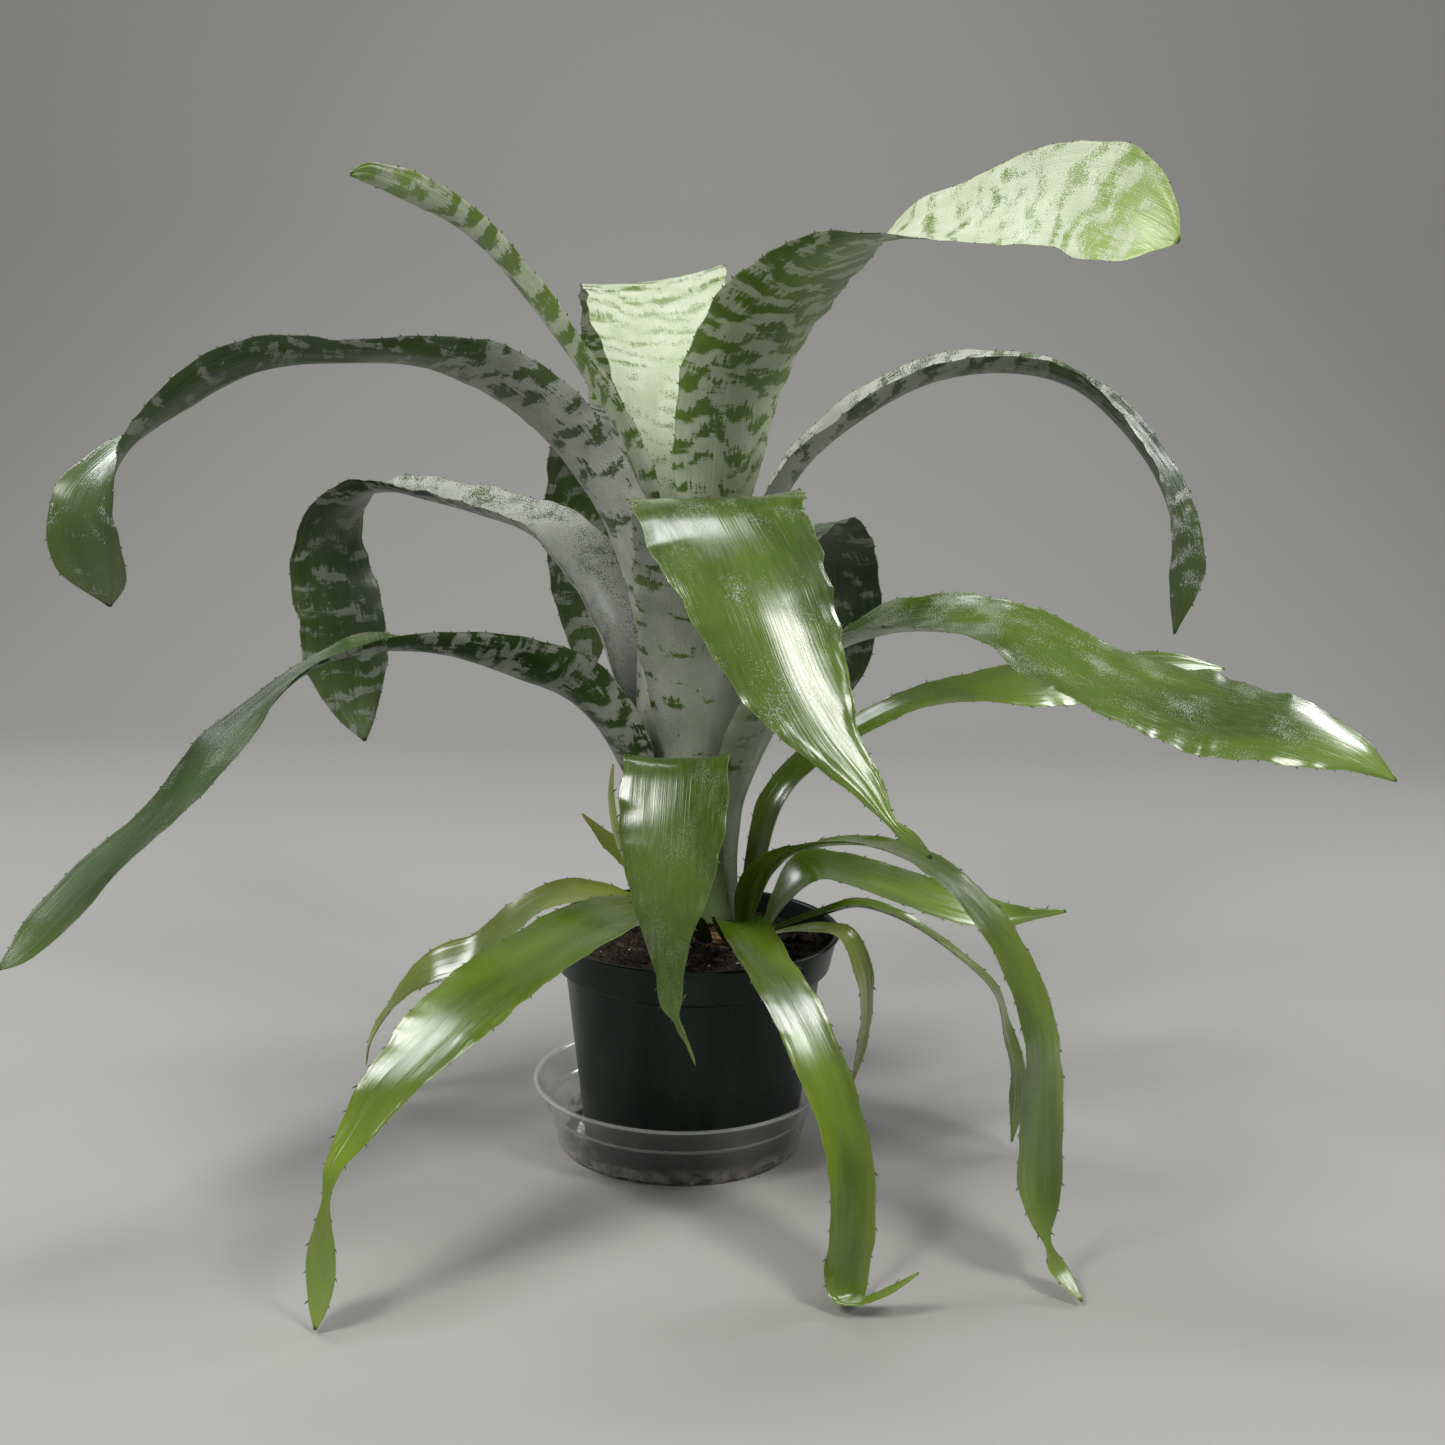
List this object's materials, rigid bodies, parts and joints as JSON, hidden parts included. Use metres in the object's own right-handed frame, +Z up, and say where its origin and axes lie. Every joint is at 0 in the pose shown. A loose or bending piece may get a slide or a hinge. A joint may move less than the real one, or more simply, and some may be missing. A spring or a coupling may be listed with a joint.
{
  "type": "potted bromeliad",
  "caption": "Vase-shaped bromeliad with arching silver-banded leaves and low green leaves, in a tapered nursery pot on a clear drip saucer.",
  "frame": {"origin": "centre of the saucer's underside, on the surface that the plant stands on", "axes": "+Z up; +X along the longest spread of the leaves, from the long silver leaf on the left to the long green one on the right; -Y towards the side with the short front leaf"},
  "size_m": [0.6618, 0.4975, 0.5439],
  "materials": {
    "silver_leaf": "green leaf dusted and cross-banded with silver scurf, satin",
    "green_leaf": "plain glossy mid-green leaf",
    "yellow_leaf": "young yellow-green leaf, satin",
    "green_plastic": "very dark green moulded nursery-pot plastic, satin",
    "clear_plastic": "thin clear formed plastic, slightly stained",
    "soil": "dark damp peat and bark potting mix",
    "stem": "brown fibrous stem and old leaf scars"
  },
  "bodies": {
    "root": {"saucer": "clear_plastic", "pot": "green_plastic", "potting_mix": "soil", "stem": "stem", "leaf_top_right": "silver_leaf", "leaf_top_back": "silver_leaf", "leaf_top_left": "silver_leaf", "leaf_right_arch": "silver_leaf", "leaf_left_arch": "silver_leaf", "leaf_back_left": "silver_leaf", "leaf_front": "silver_leaf", "leaf_left_mid": "silver_leaf", "leaf_back_right": "silver_leaf", "leaf_right": "silver_leaf", "leaf_left_low": "silver_leaf", "leaf_back_low": "silver_leaf", "leaf_front_short": "silver_leaf", "low_leaf_right_stalk": "green_leaf", "low_leaf_front_left": "green_leaf", "low_leaf_left_back": "yellow_leaf", "low_leaf_left_small": "yellow_leaf", "low_leaf_front_right": "green_leaf", "low_leaf_right_arch": "green_leaf", "low_leaf_back_right": "green_leaf", "low_leaf_right_thin": "green_leaf", "low_leaf_right_small": "yellow_leaf", "low_leaf_left_bud": "yellow_leaf"}
  },
  "joints": []
}
